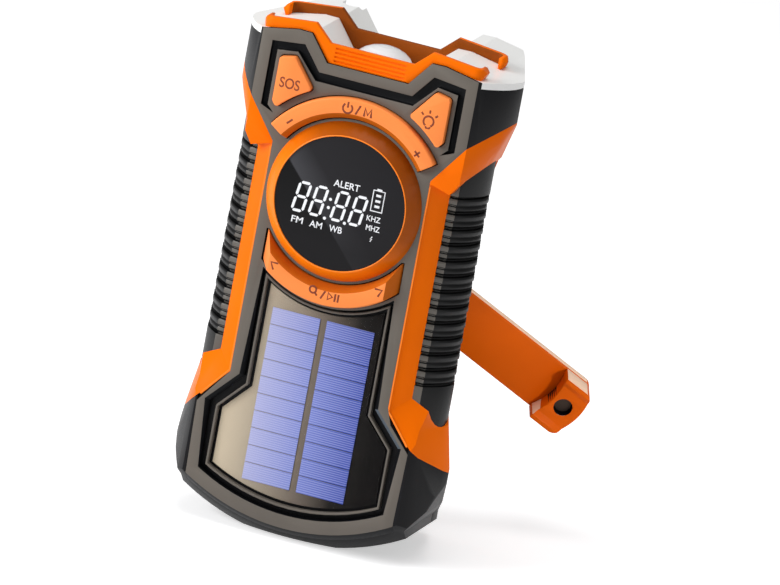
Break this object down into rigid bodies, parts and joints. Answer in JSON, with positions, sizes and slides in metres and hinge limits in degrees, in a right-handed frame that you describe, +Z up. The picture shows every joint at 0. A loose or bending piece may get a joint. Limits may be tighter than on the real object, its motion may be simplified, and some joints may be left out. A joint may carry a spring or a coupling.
{
  "type": "hand crank phone charger",
  "caption": "Handheld emergency charger and radio with a fold-out rear hand crank, solar panel, round display, top lamp, rubber side grips, pull-out aerial and covered USB sockets.",
  "frame": {"origin": "centre of the flat foot under the body, halfway between the face and the back", "axes": "+Z up towards the lamp, -Y out of the face, +X to the right as the face is looked at"},
  "size_m": [0.1074, 0.0972, 0.1585],
  "materials": {
    "panel_grey": "fine matte",
    "shell_black": "satin",
    "trim_orange": "satin",
    "key_orange": "soft matte",
    "crank_orange": "satin",
    "grip_rubber": "matte rubber",
    "display_glass": "polished",
    "circuit_board": "solder mask",
    "solar_backing": "matte",
    "solar_cell": "polished",
    "solar_glass": "polished",
    "diffuser_white": "translucent satin",
    "lens_clear": "polished",
    "reflector": "polished",
    "inner_plastic": "matte",
    "cell_sleeve": "shrink sleeve",
    "ferrite": "sintered",
    "copper_wire": "enamelled",
    "steel": "plated",
    "speaker_metal": "painted",
    "speaker_paper": "pressed paper",
    "gear_nylon": "natural nylon",
    "brass": "turned",
    "aerial_chrome": "polished"
  },
  "bodies": {
    "root": {"face_panel": "panel_grey", "front_housing": "shell_black", "rear_housing": "shell_black", "side_band_right": "trim_orange", "side_band_left": "trim_orange", "grip_right": "grip_rubber", "grip_left": "grip_rubber", "display_bezel": "trim_orange", "display_glass": "display_glass", "display_module": "circuit_board", "solar_board": "solar_backing", "solar_cells": "solar_cell", "solar_glass": "solar_glass", "solar_frame": "panel_grey", "guard_frame": "trim_orange", "lamp_diffuser": "diffuser_white", "lamp_lens": "lens_clear", "lamp_cup": "reflector", "lamp_board": "circuit_board", "key_board": "circuit_board", "main_board": "circuit_board", "battery_cradle": "inner_plastic", "battery_cells": "cell_sleeve", "ferrite_rod": "ferrite", "aerial_coil": "copper_wire", "housing_screws": "steel", "speaker": "speaker_metal", "speaker_cone": "speaker_paper", "port_board": "circuit_board", "usb_a_port": "steel", "usb_c_port": "steel", "gear_plate": "inner_plastic", "idler_pin": "steel", "shaft_bush": "brass", "generator_can": "steel", "stator_coils": "copper_wire", "aerial_pin": "steel"},
    "crank": {"crank_hub": "crank_orange", "crank_shaft": "steel", "drive_gear": "gear_nylon", "fold_pin": "steel"},
    "arm": {"crank_arm": "crank_orange", "knob_pin": "steel"},
    "knob": {"crank_knob": "crank_orange"},
    "idler": {"idler_gear": "gear_nylon"},
    "rotor": {"rotor_magnet": "ferrite", "rotor_shaft": "steel", "rotor_pinion": "brass"},
    "sos_button": {"sos_key": "key_orange"},
    "lamp_button": {"lamp_key": "key_orange"},
    "upper_button": {"upper_key": "key_orange"},
    "lower_button": {"lower_key": "key_orange"},
    "cover": {"port_cover": "grip_rubber"},
    "aerial_base": {"aerial_outer": "aerial_chrome"},
    "aerial_second": {"aerial_middle": "aerial_chrome"},
    "aerial_third": {"aerial_inner": "aerial_chrome"}
  },
  "joints": [
    {"name": "crank_spin", "type": "hinge", "parent": "root", "child": "crank", "pos_m": [0, 0.025, 0.0788], "axis": [0, 1, 0], "continuous": true},
    {"name": "arm_fold", "type": "hinge", "parent": "crank", "child": "arm", "pos_m": [0, 0.0315, 0.0788], "axis": [0.5664, 0, 0.8241], "range_deg": [-23.5, 153]},
    {"name": "knob_spin", "type": "hinge", "parent": "arm", "child": "knob", "pos_m": [0.05374, 0.06387, 0.04187], "axis": [-0.3664, 0.8957, 0.2518], "continuous": true},
    {"name": "idler_spin", "type": "hinge", "parent": "root", "child": "idler", "pos_m": [-0.01099, 0.013, 0.10671], "axis": [0, 1, 0], "continuous": true},
    {"name": "rotor_spin", "type": "hinge", "parent": "root", "child": "rotor", "pos_m": [0.00875, 0.005, 0.11811], "axis": [0, 1, 0], "continuous": true},
    {"name": "sos_press", "type": "slide", "parent": "root", "child": "sos_button", "axis": [0, 1, 0], "range_m": [0, 0.0008], "stiffness_N_per_m": 400},
    {"name": "lamp_press", "type": "slide", "parent": "root", "child": "lamp_button", "axis": [0, 1, 0], "range_m": [0, 0.0008], "stiffness_N_per_m": 400},
    {"name": "upper_press", "type": "slide", "parent": "root", "child": "upper_button", "axis": [0, 1, 0], "range_m": [0, 0.0008], "stiffness_N_per_m": 400},
    {"name": "lower_press", "type": "slide", "parent": "root", "child": "lower_button", "axis": [0, 1, 0], "range_m": [0, 0.0008], "stiffness_N_per_m": 400},
    {"name": "cover_open", "type": "hinge", "parent": "root", "child": "cover", "pos_m": [-0.02521, 0.0242, 0.03702], "axis": [0, 0, 1], "range_deg": [0, 90]},
    {"name": "aerial_fold", "type": "hinge", "parent": "root", "child": "aerial_base", "pos_m": [-0.0216, 0.022, 0.07404], "axis": [-1, 0, 0], "range_deg": [0, 100]},
    {"name": "aerial_pull_second", "type": "slide", "parent": "aerial_base", "child": "aerial_second", "axis": [0, 0, 1], "range_m": [0, 0.056]},
    {"name": "aerial_pull_third", "type": "slide", "parent": "aerial_second", "child": "aerial_third", "axis": [0, 0, 1], "range_m": [0, 0.054]}
  ],
  "couplings": [
    {"joint": "idler_spin", "follows": "crank_spin", "ratio": -4},
    {"joint": "rotor_spin", "follows": "crank_spin", "ratio": 15}
  ]
}
